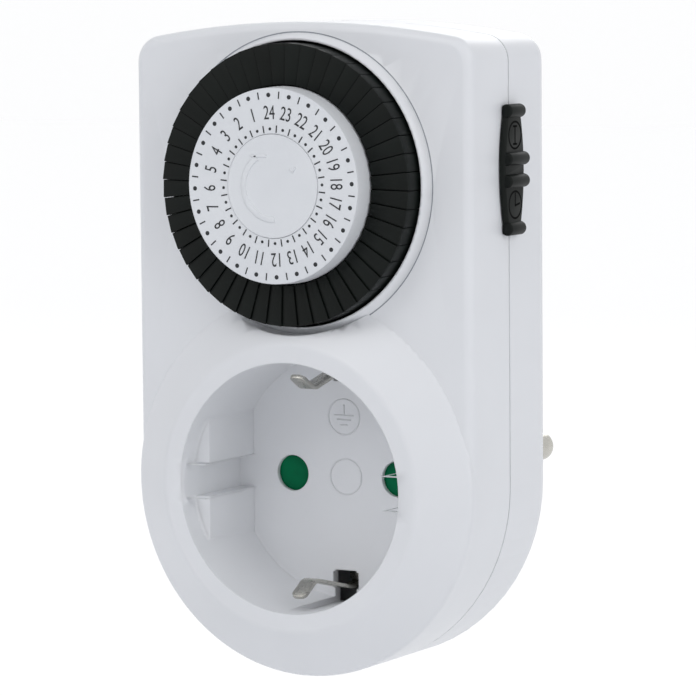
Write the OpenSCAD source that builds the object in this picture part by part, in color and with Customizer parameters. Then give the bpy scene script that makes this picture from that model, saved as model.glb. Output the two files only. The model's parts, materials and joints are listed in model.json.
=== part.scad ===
// Plug-in 24 hour timer switch: a mains adapter with a socket in front, a plug behind
// and a mechanical dial whose 48 half-hour tappets switch the socket.
//
// Every module is drawn lying on its back: x to the right, y up along the wall and
// z out of the wall, with z = 0 on the end face of the plug and x = y = 0 on the axis
// that plug and socket share. upright() turns that into the part's own frame.

/* [Housing] */
// Half of the width, which is also the radius of the round lower end
half_w = 29.75; // [29:0.05:34]
// Height of the top edge above the socket axis
top_y = 71.5; // [71:0.1:85]
// Radius of the arched top edge
top_r = 160; // [100:1:300]
// Radius of the two top corners, seen from the front
corner_r = 4.2; // [3:0.1:8]
// Thickness of the housing from its flat front to its flat back
body_depth = 25.8; // [25.6:0.1:32]
// Thickness of the moulded walls
wall = 1.8; // [1.4:0.1:2.2]
// Rounding of the front edge
front_edge_r = 1.6; // [0.8:0.1:2.4]
// Rounding of the back edge
back_edge_r = 3; // [1.5:0.1:4]
// Height of the joint between the two shells above the flat back
parting_h = 13.5; // [12.5:0.1:14.5]
// Depth of the fine groove along that joint
seam_depth = 0.3; // [0.1:0.05:0.6]
// Width of that groove
seam_w = 0.3; // [0.1:0.05:0.6]

/* [Plug] */
// Height of the plug that enters the wall socket
plug_h = 19; // [17.5:0.1:22]
// Radius of the plug
plug_r = 18.4; // [18:0.05:18.6]
// Half of the width across the two flats of the plug
plug_flat = 16.2; // [16:0.05:16.6]
// Width of the guide groove in each flat of the plug
plug_groove_w = 6; // [5.6:0.1:7]
// Depth of that groove
plug_groove_depth = 1; // [0.8:0.1:1.4]
// Thickness of the end wall of the plug
plug_end_t = 2.5; // [2:0.1:3.5]
// Radius of a contact pin
pin_r = 2.4; // [2:0.05:2.4]
// Length of a contact pin in front of the plug
pin_len = 19; // [18:0.1:20]
// Half of the distance between the pins
pin_x = 9.5; // [9.3:0.05:9.6]
// Distance of the earth hole from the line of the pins
earth_hole_y = 10; // [9.8:0.1:10.4]
// Radius of the earth hole
earth_hole_r = 2.6; // [2.5:0.05:2.7]

/* [Socket] */
// Radius of the socket well
well_r = 19.4; // [19.1:0.05:19.8]
// Depth of the well from its rim to its floor
well_depth = 17.8; // [17.5:0.1:18.5]
// Height of the rim above the flat front
rim_h = 4.5; // [3.5:0.1:6]
// Width of the flat ring round the well
rim_w = 2.9; // [2.2:0.1:4]
// Half of the width across the two flats of the well
well_flat = 16.7; // [16.65:0.05:17.1]
// Height of the flats above the floor
flat_h = 14.5; // [12:0.1:16]
// Width of the guide rib on each flat
rib_w = 5.4; // [5:0.1:5.6]
// How far the guide rib stands proud of the flat
rib_proud = 0.9; // [0.5:0.05:1]
// Height of the guide rib above the floor
rib_h = 16.4; // [15:0.1:17]
// Thickness of the floor and of the wall of the well
well_wall = 1.6; // [1.3:0.1:1.8]
// Radius of a pin hole in the floor
entry_r = 2.85; // [2.7:0.05:3]

/* [Dial] */
// Height of the dial axis above the socket axis
dial_y = 46.7; // [46.6:0.1:48]
// Radius of the ring of tappets
dial_r = 21.6; // [21:0.1:21.7]
// How far the tappets stand proud of the flat front
tappet_proud = 4; // [3.4:0.1:5]
// How far a tappet is pushed in
tappet_travel = 2; // [1.4:0.1:2.2]
// Thickness of the head of a tappet
tappet_t = 4.2; // [3.9:0.1:4.6]
// Gap between neighbouring tappets
tappet_gap = 0.22; // [0.15:0.01:0.4]
// Radius of the numbered disc
disc_r = 15; // [14.6:0.1:15.6]
// Thickness of the numbered disc
disc_t = 3.8; // [3:0.1:5]
// Radius of the cap in the middle of the disc
cap_r = 7.9; // [6:0.1:8.2]
// Radius of the opening in the collar round the dial
collar_in_r = 22; // [21.9:0.05:22.4]
// Outer radius of the foot of the collar
collar_out_r = 23.1; // [22.8:0.05:23.15]
// Height of the collar above the flat front
collar_h = 1.5; // [0.8:0.1:2]

/* [Gears] */
// Tooth size: pitch diameter divided by the number of teeth
gear_m = 0.6; // [0.58:0.01:0.62]
// Teeth of the dial's own gear
dial_teeth = 50; // [50:1:52]
// Teeth of the pinion that drives the dial
pinion_teeth = 10; // [10:1:11]
// Teeth of the wheel on the same arbor
wheel_teeth = 32; // [28:1:32]
// Teeth of the motor's pinion
motor_teeth = 8; // [8:1:10]
// Direction from the dial axis to the drive gear
drive_angle = 225; // [220:1:230]
// Direction from the drive gear to the motor pinion
motor_angle = 75; // [70:1:80]

/* [Mode slider] */
// Height of the slider's middle above the socket axis
slider_y = 48.8; // [48:0.1:50]
// Length of the slider's cap
slider_len = 20; // [18:0.5:22]
// Half of the width of the cap in its middle
slider_half_w = 3.5; // [3:0.1:4]
// Thickness of the cap
slider_t = 1.6; // [1.2:0.1:2.4]
// Travel between timed and always on
slider_travel = 3; // [2:0.1:3.4]

/* [Hidden] */
$fn = 96;
// Clearance between pieces that pass each other
clear = 0.3;
// Clearance of a running or sliding fit, all round
run = 0.05;

// Heights above the plug's end face
back_z = plug_h;
parting_z = back_z + parting_h;
face_z = back_z + body_depth;
rim_z = face_z + rim_h;
floor_z = rim_z - well_depth;
under_floor_z = floor_z - well_wall;
inner_back_z = back_z + wall;
inner_face_z = face_z - wall;

// Centre of the arched top edge and of the top corners
top_centre_y = top_y - top_r;
corner_x = half_w - corner_r;
corner_y = top_centre_y + sqrt(pow(top_r - corner_r, 2) - pow(corner_x, 2));
corner_angle = atan2(corner_y - top_centre_y, corner_x);

// Dial levels, from the front to the back
tappet_top_z = face_z + tappet_proud;
tappet_low_z = tappet_top_z - tappet_t;
wheel_top_z = tappet_low_z - tappet_travel - clear;
wheel_t = 2;
wheel_low_z = wheel_top_z - wheel_t;
disc_low_z = tappet_top_z + clear;
disc_top_z = disc_low_z + disc_t;
gear_t = 2;
dial_gear_low_z = wheel_low_z - tappet_travel - 2.8;
drive_wheel_low_z = dial_gear_low_z - gear_t - 1;
plate_t = 1.5;
plate_top_z = drive_wheel_low_z - 0.8;
plate_low_z = plate_top_z - plate_t;
hub_r = 13.2;
post_r = 2.4;
tappet_in_r = hub_r + clear;
stem_r0 = 16.6;
stem_r1 = 20.2;
stem_w = 1.1;
stem_low_z = wheel_low_z + 0.3;

// The tappets work in pairs, one pair for each hour
groups = 24;
group_size = 2;
step_angle = 360 / (groups * group_size);
// Where the first tappet stands: the dial rests turned a little anticlockwise from the top
first_angle = 90 + 2.36;

// Gear centres
drive_dist = gear_m * (dial_teeth + pinion_teeth) / 2;
drive_x = drive_dist * cos(drive_angle);
drive_y = dial_y + drive_dist * sin(drive_angle);
motor_dist = gear_m * (wheel_teeth + motor_teeth) / 2;
motor_x = drive_x + motor_dist * cos(motor_angle);
motor_y = drive_y + motor_dist * sin(motor_angle);

// Height above the floor where the guide ribs step back
rib_foot_h = 4;

// Radius of a pin where the plug holds it, and the shoulder that sits flush in the plug's end
shank_r = pin_r - 0.3;
shoulder_r = pin_r + 0.3;
shoulder_t = 0.5;

// Contact strips and other inner pieces
strip_t = 0.8;
strip_half_w = 2.1;
clip_leg_y = 16.6;
clip_touch_y = 14.7;
clip_tip_y = 17.5;
clip_bend_z = floor_z + 6;
clip_touch_z = floor_z + 12.5;
clip_tip_z = floor_z + 16.3;
earth_base_z = under_floor_z - 3.5;
shutter_t = 1.6;
shutter_top_z = under_floor_z - clear;
shutter_low_z = shutter_top_z - shutter_t;
shutter_travel = 6;
shutter_half_w = 4.2;
shutter_right_x = pin_x + 3.1;
guide_y = 5.1;
spring_end_x = well_r + 1.3;
contact_r = pin_r + run;
contact_wall = 0.7;
contact_top_z = shutter_low_z - clear;
contact_low_z = inner_back_z + 1.2;
lever_x = 18.1;
lever_half_w = 1.3;
lever_pivot_y = 30;
lever_nose_y = dial_y - 3.2;
lever_nose_r = 1.5;
lever_top_z = stem_low_z - tappet_travel - 0.15;
lever_pivot_z = lever_top_z - 1;
lever_pin_r = 0.8;
lever_boss_r = 1.5;
lever_arm_t = 1.4;
blade_t = 0.4;
blade_top_z = lever_pivot_z - lever_boss_r - 0.15;
blade_z = blade_top_z - blade_t;
blade_half_w = 1.2;
blade_root_y = 25.6;
blade_root_r = 0.45;
blade_tip_y = 40;
button_r = 1.2;
button_t = 0.6;
button_y = blade_tip_y - 1.6;
contact_gap = 1;

// Screw posts: the top pair and the pair beside the well
post_x = [24.4, 15];
post_y = [63.8, -19.2];
screw_post_r = 3.8;
screw_r = 1.3;
screw_head_r = 2.7;
screw_head_t = 1.8;

// Standoffs that carry the mechanism plate
standoff_at = [[6.35 - half_w, 26], [1, 27], [13, top_y - 8]];
standoff_r = 2;
standoff_pin_r = 0.9;

// The motor can stands beside its output shaft
can_r = 12.5;
can_x = motor_x - 3;
can_y = motor_y + 4;
can_low_z = inner_back_z + 0.4;
arbor_r = 1;
shaft_r = 0.8;

// Slot in the right side wall for the shank of the slider
shank_half_len = 4;
shank_half_w = 1.8;

// Turns what is drawn lying on its back into the part's frame
module upright() {
    rotate([90, 0, 0]) children();
}

// A box given by its lowest and highest corner
module block(low, high) {
    translate(low) cube(high - low);
}

module tube(r_out, r_in, z0, z1) {
    translate([0, 0, z0]) difference() {
        cylinder(r = r_out, h = z1 - z0);
        translate([0, 0, -1]) cylinder(r = r_in, h = z1 - z0 + 2);
    }
}

module rod(r, z0, z1) {
    translate([0, 0, z0]) cylinder(r = r, h = z1 - z0);
}

module both_sides() {
    children();
    mirror([1, 0, 0]) children();
}

module at_screw_posts() {
    for (i = [0:1]) both_sides() translate([post_x[i], post_y[i], 0]) children();
}

// Half of a slab's cross-section: w wide from its middle to its outer edges, of which the
// back one is rounded by r0 and the front one by r1. A radius of 0 leaves it square.
module edge_profile(w, z0, z1, r0, r1) {
    intersection() {
        translate([0, z0]) square([w, z1 - z0]);
        union() {
            translate([0, z0 + r0]) square([w, z1 - r1 - z0 - r0]);
            if (r0 > 0) {
                translate([0, z0]) square([w - r0, r0]);
                translate([w - r0, z0 + r0]) circle(r0);
            }
            if (r1 > 0) {
                translate([0, z1 - r1]) square([w - r1, r1]);
                translate([w - r1, z1 - r1]) circle(r1);
            }
        }
    }
}

// The outline as a slab with rounded edges: the cross-section runs along every stretch of it
module slab(z0, z1, r0, r1) {
    rotate([0, 0, 180]) rotate_extrude(angle = 180) edge_profile(half_w, z0, z1, r0, r1);
    both_sides() {
        translate([0, corner_y, 0]) rotate([90, 0, 0]) linear_extrude(corner_y)
            edge_profile(half_w, z0, z1, r0, r1);
        translate([corner_x, corner_y, 0]) rotate_extrude(angle = corner_angle)
            edge_profile(corner_r, z0, z1, r0, r1);
        translate([0, top_centre_y, 0]) rotate([0, 0, corner_angle])
            rotate_extrude(angle = 90 - corner_angle, $fn = 720)
            translate([top_r - corner_r, 0]) edge_profile(corner_r, z0, z1, r0, r1);
    }
    translate([0, 0, z0]) linear_extrude(z1 - z0) intersection() {
        translate([-corner_x, corner_y - 1]) square([2 * corner_x, top_y]);
        translate([0, top_centre_y]) circle(top_r - corner_r + 0.2, $fn = 720);
    }
}

// The same outline as a slab with square edges, drawn in by inset
module plain_slab(inset, z0, z1, top_fn = 720) {
    w = half_w - inset;
    rod(w, z0, z1);
    block([-w, 0, z0], [w, corner_y, z1]);
    both_sides() translate([corner_x, corner_y, 0]) rod(corner_r - inset, z0, z1);
    translate([0, 0, z0]) linear_extrude(z1 - z0) intersection() {
        translate([0, top_centre_y]) circle(top_r - inset, $fn = top_fn);
        translate([-corner_x, corner_y - 2 * corner_r]) square([2 * corner_x, top_y]);
    }
}

// The front shell as a solid, with the half of the seam's groove that is cut in it
module front_shell() {
    slab(parting_z + seam_w / 2, face_z, 0, front_edge_r);
    plain_slab(seam_depth, parting_z, parting_z + wall);
}

// The rear shell as a solid: one convex skin over a stack of outlines that round its back edge
module rear_shell() {
    top_z = parting_z - seam_w / 2;
    hull() {
        for (angle = [0:22.5:90]) plain_slab(
            back_edge_r * (1 - sin(angle)),
            back_z + back_edge_r * (1 - cos(angle)),
            top_z,
            240,
            $fn = 64
        );
    }
    plain_slab(seam_depth, parting_z - wall, parting_z);
}

// Cross-section of the cone that leads from the flat front up to the socket's rim
module dome_profile() {
    rim_out = well_r + rim_w;
    cone = atan2(rim_h, half_w - rim_out);
    edge_r = 1;
    edge_z = face_z - edge_r * (1 - sin(cone)) / cos(cone);
    edge_x = half_w - edge_r;
    lip_r = 2;
    lip_x = rim_out - lip_r * tan(cone / 2);
    base_z = face_z - wall;
    polygon([
        [0, base_z],
        [half_w, base_z],
        [half_w, edge_z],
        [edge_x + edge_r * sin(cone), edge_z + edge_r * cos(cone)],
        [lip_x + lip_r * sin(cone), rim_z - lip_r * (1 - cos(cone))],
        [lip_x, rim_z],
        [0, rim_z]
    ]);
    translate([edge_x, edge_z]) circle(edge_r);
    translate([lip_x, rim_z - lip_r]) circle(lip_r);
}

// The same cone one wall further in
module dome_inside() {
    slope = rim_h / (half_w - well_r - rim_w);
    inner_r = half_w - wall;
    skin = 1.15 * wall;
    rotate_extrude() polygon([
        [0, inner_face_z - 1],
        [inner_r, inner_face_z - 1],
        [inner_r, face_z + slope * wall - skin],
        [well_r + rim_w, rim_z - skin],
        [0, rim_z - skin]
    ]);
}

// The free space inside the well, narrowed by the two flats and their guide ribs
module well_space() {
    difference() {
        rod(well_r, floor_z, rim_z + 1);
        both_sides() {
            block([well_flat, -well_r, floor_z - 1], [well_r + 1, well_r, floor_z + flat_h]);
            block(
                [well_flat - rib_proud, -rib_w / 2, floor_z + rib_foot_h],
                [well_r + 1, rib_w / 2, floor_z + rib_h]
            );
            block(
                [well_flat - rib_proud / 2, -rib_w / 2, floor_z - 1],
                [well_r + 1, rib_w / 2, floor_z + rib_h]
            );
        }
    }
}

module slider_slot() {
    len = shank_half_len + run;
    half = shank_half_w + run;
    block(
        [half_w - 2 * wall, slider_y - len, parting_z - half],
        [half_w + 1, slider_y + slider_travel + len, parting_z + half]
    );
}

// The two rails that guide the shutter under the floor, and the stop for its spring
module shutter_guides() {
    rail_x = well_r - 1.4;
    for (side = [-1, 1]) block(
        [-rail_x, side * guide_y - 0.6, shutter_low_z],
        [rail_x, side * guide_y + 0.6, floor_z]
    );
    block([spring_end_x, -2, shutter_low_z], [spring_end_x + 1.2, 2, parting_z + 2]);
}

module front_housing() {
    tub_r = collar_in_r + 2.8;
    color("whitesmoke") upright() difference() {
        union() {
            front_shell();
            rod(well_r + well_wall, under_floor_z, parting_z + 1);
            shutter_guides();
            difference() {
                rotate_extrude() dome_profile();
                translate([0, dial_y, 0]) rod(collar_out_r, face_z, rim_z + 1);
            }
            translate([0, dial_y, face_z])
                cylinder(r1 = collar_out_r, r2 = collar_in_r + 0.3, h = collar_h);
        }
        difference() {
            union() {
                plain_slab(wall, parting_z - 1, inner_face_z);
                dome_inside();
            }
            rod(well_r + well_wall, under_floor_z, rim_z);
            translate([0, dial_y, 0]) rod(tub_r, wheel_low_z, rim_z);
            at_screw_posts() rod(screw_post_r, parting_z, rim_z);
            shutter_guides();
        }
        well_space();
        translate([0, dial_y, 0]) rod(collar_in_r, wheel_low_z - 1, rim_z + 1);
        at_screw_posts() rod(screw_r, parting_z - 1, face_z - wall);
        both_sides() translate([pin_x, 0, 0]) rod(entry_r, under_floor_z - 1, floor_z + 1);
        for (side = [-1, 1]) block(
            [-strip_half_w - 0.2, side * clip_leg_y - 1.3, under_floor_z - 1],
            [strip_half_w + 0.2, side * clip_leg_y + 1.3, floor_z + 1]
        );
        slider_slot();
    }
}

// Outline of the plug: a circle with two flats and a guide groove in each
module plug_outline() {
    difference() {
        intersection() {
            circle(plug_r);
            square([2 * plug_flat, 2 * plug_r], center = true);
        }
        for (side = [-1, 1]) translate([side * plug_flat, 0])
            square([2 * plug_groove_depth, plug_groove_w], center = true);
    }
}

module plug_inside() {
    intersection() {
        rod(plug_r - wall, plug_end_t, inner_back_z + 1);
        block([-13.4, -14.6, 0], [13.4, 14.6, inner_back_z + 1]);
    }
}

module rear_housing() {
    color("white") upright() difference() {
        union() {
            rear_shell();
            linear_extrude(inner_back_z) plug_outline();
        }
        difference() {
            plain_slab(wall, inner_back_z, parting_z + 1);
            at_screw_posts() rod(screw_post_r, inner_back_z - 1, parting_z);
            for (p = standoff_at) translate([p[0], p[1], 0]) {
                rod(standoff_r, inner_back_z - 1, plate_low_z);
                rod(standoff_pin_r, inner_back_z - 1, plate_top_z);
            }
        }
        difference() {
            plug_inside();
            both_sides() translate([pin_x, 0, 0]) rod(pin_r + 1.6, 0, back_z);
        }
        both_sides() translate([pin_x, 0, 0]) {
            rod(shank_r, -1, back_z + 1);
            rod(shoulder_r, -1, shoulder_t);
        }
        translate([0, earth_hole_y, 0]) rod(earth_hole_r, -1, plug_end_t + 1);
        for (side = [0, 1]) mirror([0, side, 0]) block(
            [-strip_half_w - 0.6, clip_leg_y - strip_t / 2, 1.2],
            [strip_half_w + 0.6, plug_r + 1, back_z]
        );
        for (side = [0, 1]) mirror([0, side, 0]) block(
            [-strip_half_w, clip_leg_y - strip_t / 2, back_z - 1],
            [strip_half_w, clip_leg_y + strip_t / 2, inner_back_z + 1]
        );
        at_screw_posts() {
            rod(screw_r + 0.3, back_z - 1, parting_z + 1);
            rod(screw_head_r + 0.3, back_z - 1, back_z + screw_head_t + 0.2);
        }
        slider_slot();
    }
}

module housing_screws() {
    head_z = back_z + 0.2;
    color("silver") upright() at_screw_posts() difference() {
        union() {
            rod(screw_head_r, head_z, head_z + screw_head_t);
            rod(screw_r, head_z + 1, face_z - wall - 1);
        }
        for (turn = [0, 90]) rotate([0, 0, turn]) block(
            [-1.7, -0.35, head_z - 1],
            [1.7, 0.35, head_z + 1]
        );
    }
}

// A flat gear whose teeth taper from the root to the tip, with the first tooth at angle phase
module gear(teeth, phase, z0) {
    pitch_r = gear_m * teeth / 2;
    tip_r = pitch_r + 0.9 * gear_m;
    root_r = pitch_r - 1.2 * gear_m;
    root_half = 0.42 * 180 / teeth;
    tip_half = 0.2 * 180 / teeth;
    translate([0, 0, z0]) linear_extrude(gear_t) polygon([
        for (i = [0:teeth - 1])
            for (p = [[root_r, -root_half], [tip_r, -tip_half], [tip_r, tip_half], [root_r, root_half]])
                p[0] * [cos(phase + i * 360 / teeth + p[1]), sin(phase + i * 360 / teeth + p[1])]
    ]);
}

module dial_wheel() {
    color("#1c1e1d") upright() translate([0, dial_y, 0]) difference() {
        union() {
            rod(dial_r, wheel_low_z, wheel_top_z);
            rod(hub_r, wheel_top_z - 1, disc_low_z);
            rod(hub_r - 2, dial_gear_low_z + 1, wheel_low_z + 1);
            gear(dial_teeth, drive_angle, dial_gear_low_z);
        }
        rod(post_r + run, dial_gear_low_z - 1, disc_low_z + 1);
        rod(4.6, disc_low_z - 1.8, disc_low_z + 1);
        for (i = [0:groups * group_size - 1]) rotate([0, 0, first_angle + i * step_angle]) block(
            [stem_r0 - 0.1, -stem_w / 2 - 0.1, wheel_low_z - 1],
            [stem_r1 + 0.1, stem_w / 2 + 0.1, wheel_top_z + 1]
        );
    }
}

// One tappet: a wedge-shaped head that leans its edge on the next, and a stem behind it
module tappet() {
    half = step_angle / 2;
    gap = tappet_gap / 2 / cos(half);
    head_r1 = dial_r;
    translate([0, 0, tappet_low_z]) linear_extrude(tappet_t) polygon([
        [tappet_in_r, gap - tappet_in_r * tan(half)],
        [head_r1, gap - head_r1 * tan(half)],
        [head_r1, head_r1 * tan(half) - gap],
        [tappet_in_r, tappet_in_r * tan(half) - gap]
    ]);
    block([stem_r0, -stem_w / 2, stem_low_z], [stem_r1, stem_w / 2, tappet_low_z + 1]);
}

// The pair of tappets of one hour, counted clockwise from the top
module tappets(g) {
    color("#202322") upright() translate([0, dial_y, 0]) intersection() {
        for (i = [0:group_size - 1])
            rotate([0, 0, first_angle - (group_size * (g - 1) + i) * step_angle]) tappet();
        rotate_extrude() polygon([
            [tappet_in_r - 1, stem_low_z - 1],
            [dial_r, stem_low_z - 1],
            [dial_r, tappet_top_z - 0.35],
            [dial_r - 0.35, tappet_top_z],
            [tappet_in_r - 1, tappet_top_z]
        ]);
    }
}

module dial_face() {
    color("white") upright() translate([0, dial_y, 0]) difference() {
        translate([0, 0, disc_low_z]) cylinder(r1 = disc_r + 0.1, r2 = disc_r - 0.1, h = disc_t);
        rod(cap_r + run, disc_top_z - 1.2, disc_top_z + 1);
    }
}

module dial_cap() {
    color("white") upright() translate([0, dial_y, 0])
        rod(cap_r, disc_top_z - 1.2, disc_top_z + 0.1);
}

module dial_screw() {
    head_z = disc_low_z - 1.6;
    color("silver") upright() translate([0, dial_y, 0]) difference() {
        union() {
            rod(4, head_z, head_z + 1.3);
            rod(1.2, head_z - 8, head_z + 1);
        }
        block([-3, -0.4, head_z + 0.7], [3, 0.4, head_z + 2]);
    }
}

module mechanism_plate() {
    ear_x = [lever_x - lever_half_w - 1.5, lever_x + lever_half_w + 0.3];
    left = wall + 1.35 - half_w;
    low = well_r + well_wall + 1.4;
    top = top_y - wall - 3.7;
    color("gainsboro") upright() difference() {
        union() {
            block([left, low, plate_low_z], [15.2, 34, plate_top_z]);
            block([15, 27, plate_low_z], [21, 34, plate_top_z]);
            block([left, 33, plate_low_z], [15.2, dial_y + 13, plate_top_z]);
            block([left + 6.6, dial_y + 12, plate_low_z], [16, top, plate_top_z]);
            translate([0, dial_y, 0]) {
                rod(post_r + 1.2, plate_low_z, dial_gear_low_z - 0.2);
                rod(post_r, plate_low_z, disc_low_z - 1.6);
            }
            translate([drive_x, drive_y, 0]) {
                rod(2, plate_low_z, drive_wheel_low_z - 0.1);
                rod(arbor_r, plate_low_z, dial_gear_low_z + gear_t + 0.6);
            }
            for (x = ear_x) block(
                [x, lever_pivot_y - 1.8, plate_low_z],
                [x + 1.2, lever_pivot_y + 1.8, lever_pivot_z + 1.6]
            );
        }
        translate([0, dial_y, 0]) rod(1.2, disc_low_z - 9.7, disc_low_z);
        translate([motor_x, motor_y, 0]) rod(gear_m * motor_teeth / 2 + 1, 0, plate_top_z + 1);
        for (p = standoff_at) translate([p[0], p[1], 0]) rod(standoff_pin_r, 0, plate_top_z + 1);
        translate([0, lever_pivot_y, lever_pivot_z]) rotate([0, 90, 0]) rod(lever_pin_r, 0, 30);
    }
}

module drive_gear() {
    color("ivory") upright() translate([drive_x, drive_y, 0]) difference() {
        union() {
            gear(wheel_teeth, motor_angle, drive_wheel_low_z);
            rod(2.1, drive_wheel_low_z, dial_gear_low_z + gear_t);
            gear(pinion_teeth, drive_angle + 180 + 180 / pinion_teeth, dial_gear_low_z);
        }
        rod(arbor_r + run, drive_wheel_low_z - 1, dial_gear_low_z + gear_t + 1);
    }
}

module motor_can() {
    color("silver") upright() difference() {
        translate([can_x, can_y, 0]) {
            rod(can_r, can_low_z, plate_low_z - 1.2);
            rod(can_r - 1.5, can_low_z, plate_low_z - 0.3);
        }
        translate([motor_x, motor_y, 0]) rod(shaft_r + run, plate_low_z - 4.2, plate_low_z);
    }
}

module motor_pinion() {
    color("ivory") upright() translate([motor_x, motor_y, 0]) {
        rod(shaft_r, plate_low_z - 4, drive_wheel_low_z + gear_t + 0.2);
        gear(motor_teeth, motor_angle + 180 + 180 / motor_teeth, drive_wheel_low_z);
    }
}

module tracer_lever() {
    toe_w = 0.8;
    color("ivory") upright() translate([lever_x - lever_half_w, 0, 0]) difference() {
        rotate([90, 0, 90]) linear_extrude(2 * lever_half_w) {
            translate([lever_pivot_y - 3, lever_pivot_z - lever_arm_t / 2])
                square([lever_nose_y - lever_pivot_y + 3, lever_arm_t]);
            translate([lever_nose_y, lever_top_z - lever_nose_r]) circle(lever_nose_r);
            translate([lever_pivot_y, lever_pivot_z]) circle(lever_boss_r);
            translate([blade_tip_y - toe_w, blade_top_z + 0.1])
                square([toe_w, lever_pivot_z - blade_top_z]);
        }
        translate([-1, lever_pivot_y, lever_pivot_z]) rotate([0, 90, 0])
            rod(lever_pin_r + run, 0, 10);
    }
}

module lever_pin() {
    color("silver") upright() translate([lever_x, lever_pivot_y, lever_pivot_z])
        rotate([0, 90, 0]) rod(lever_pin_r, -lever_half_w - 1.5, lever_half_w + 1.5);
}

module switch_blade() {
    color("goldenrod") upright() translate([lever_x, 0, 0]) {
        block([-blade_half_w, blade_root_y, blade_z], [blade_half_w, blade_tip_y, blade_top_z]);
        translate([0, blade_root_y, blade_z + blade_t / 2]) rotate([0, 90, 0])
            rod(blade_root_r, -blade_half_w, blade_half_w);
        translate([0, button_y, 0]) rod(button_r, blade_z - button_t, blade_z + 0.1);
    }
}

// From the live pin across the back wall and up to the button under the blade
module fixed_contact() {
    top_z = blade_z - 2 * button_t - contact_gap;
    base_top_z = inner_back_z + strip_t;
    color("goldenrod") upright() {
        block([pin_x - 2, -2, inner_back_z], [lever_x + 1.5, 2, base_top_z]);
        translate([lever_x, 0, 0]) {
            block([-1.5, -2, inner_back_z], [1.5, blade_tip_y, base_top_z]);
            block([-1.5, blade_tip_y - strip_t, inner_back_z], [1.5, blade_tip_y, top_z]);
            block([-1.5, button_y - 1.6, top_z - strip_t], [1.5, blade_tip_y, top_z]);
            translate([0, button_y, 0]) rod(button_r, top_z - 0.2, top_z + button_t);
        }
    }
}

// Outline of the slider's cap: two shallow arcs cut off square at the ends
module slider_outline(half_len, half_width) {
    arc_r = (pow(half_len * 1.5, 2) + pow(half_width, 2)) / (2 * half_width);
    intersection() {
        translate([0, half_width - arc_r]) circle(arc_r, $fn = 360);
        translate([0, arc_r - half_width]) circle(arc_r, $fn = 360);
        square([2 * half_len, 3 * half_width], center = true);
    }
}

module mode_slider() {
    under = half_w + 0.15;
    top = under + slider_t;
    color("#262a29") upright() translate([0, slider_y, parting_z]) {
        rotate([0, 90, 0]) rotate([0, 0, 90]) {
            translate([0, 0, under]) linear_extrude(slider_t)
                slider_outline(slider_len / 2, slider_half_w);
        }
        for (y = [-1.7, 1.7]) translate([top, y, -slider_half_w + 0.6])
            cylinder(r = 1, h = 2 * slider_half_w - 1.2);
        for (side = [-1, 1]) translate([top - 0.4, side * (slider_len / 2 - 1.2), -slider_half_w + 1.4])
            cylinder(r = 1.1, h = 2 * slider_half_w - 2.8);
        block(
            [half_w - wall - 0.4, -shank_half_len, -shank_half_w],
            [under + 0.2, shank_half_len, shank_half_w]
        );
        block(
            [half_w - wall - 1.5, -shank_half_len - 2, -shank_half_w - 1],
            [half_w - wall - 0.3, shank_half_len + 2, shank_half_w + 1]
        );
    }
}

module shutter() {
    left = -pin_x - shutter_travel - 3.6;
    color("seagreen") upright() difference() {
        block([left, -shutter_half_w, shutter_low_z], [shutter_right_x, shutter_half_w, shutter_top_z]);
        for (side = [-1, 1]) translate([side * pin_x - shutter_travel, 0, 0])
            rod(entry_r, shutter_low_z - 1, shutter_top_z + 1);
        for (side = [-1, 1]) translate([side * pin_x, shutter_half_w + 1, shutter_top_z])
            rotate([90, 0, 0]) linear_extrude(2 * shutter_half_w + 2)
            polygon([[-2.4, 0.1], [-2.4, 0], [2.4, -0.9], [2.4, 0.1]]);
    }
}

module shutter_spring() {
    color("silver") upright() translate([0, 0, shutter_top_z - 0.8]) rotate([0, 90, 0])
        tube(0.75, 0.5, shutter_right_x, spring_end_x);
}

// Unit vector square to the stretch of a route that starts at point i
function square_to(route, i) =
    let (step = route[i + 1] - route[i])
    [-step[1], step[0]] / norm(step);

// From point i of a route to the edge of a strip of thickness strip_t that follows it
function edge_offset(route, i) =
    let (
        before = square_to(route, max(i - 1, 0)),
        after = square_to(route, min(i, len(route) - 2)),
        middle = (before + after) / norm(before + after)
    )
    middle * strip_t / 2 / (middle * after);

// A flat strip bent along a route in the y-z plane
module bent_strip(route) {
    last = len(route) - 1;
    translate([-strip_half_w, 0, 0]) rotate([90, 0, 90]) linear_extrude(2 * strip_half_w)
        polygon(concat(
            [for (i = [0:last]) route[i] + edge_offset(route, i)],
            [for (i = [last:-1:0]) route[i] - edge_offset(route, i)]
        ));
}

module front_earth_clips() {
    base_z = earth_base_z + strip_t / 2;
    color("silver") upright() difference() {
        for (side = [0, 1]) mirror([0, side, 0]) bent_strip([
            [0, base_z],
            [clip_leg_y, base_z],
            [clip_leg_y, clip_bend_z],
            [clip_touch_y, clip_touch_z],
            [clip_tip_y, clip_tip_z]
        ]);
        rod(1.2, 0, rim_z);
    }
}

module rear_earth_contacts() {
    base_z = earth_base_z - strip_t / 2;
    color("silver") upright() difference() {
        for (side = [0, 1]) mirror([0, side, 0]) bent_strip([
            [0, base_z],
            [clip_leg_y, base_z],
            [clip_leg_y, 1.2 + strip_t / 2]
        ]);
        rod(1.2, 0, rim_z);
    }
}

module earth_rivet() {
    color("silver") upright() {
        rod(1.2, earth_base_z - strip_t, earth_base_z + strip_t);
        rod(1.9, earth_base_z - strip_t - 0.6, earth_base_z - strip_t);
        rod(1.9, earth_base_z + strip_t, earth_base_z + strip_t + 0.3);
    }
}

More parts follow.
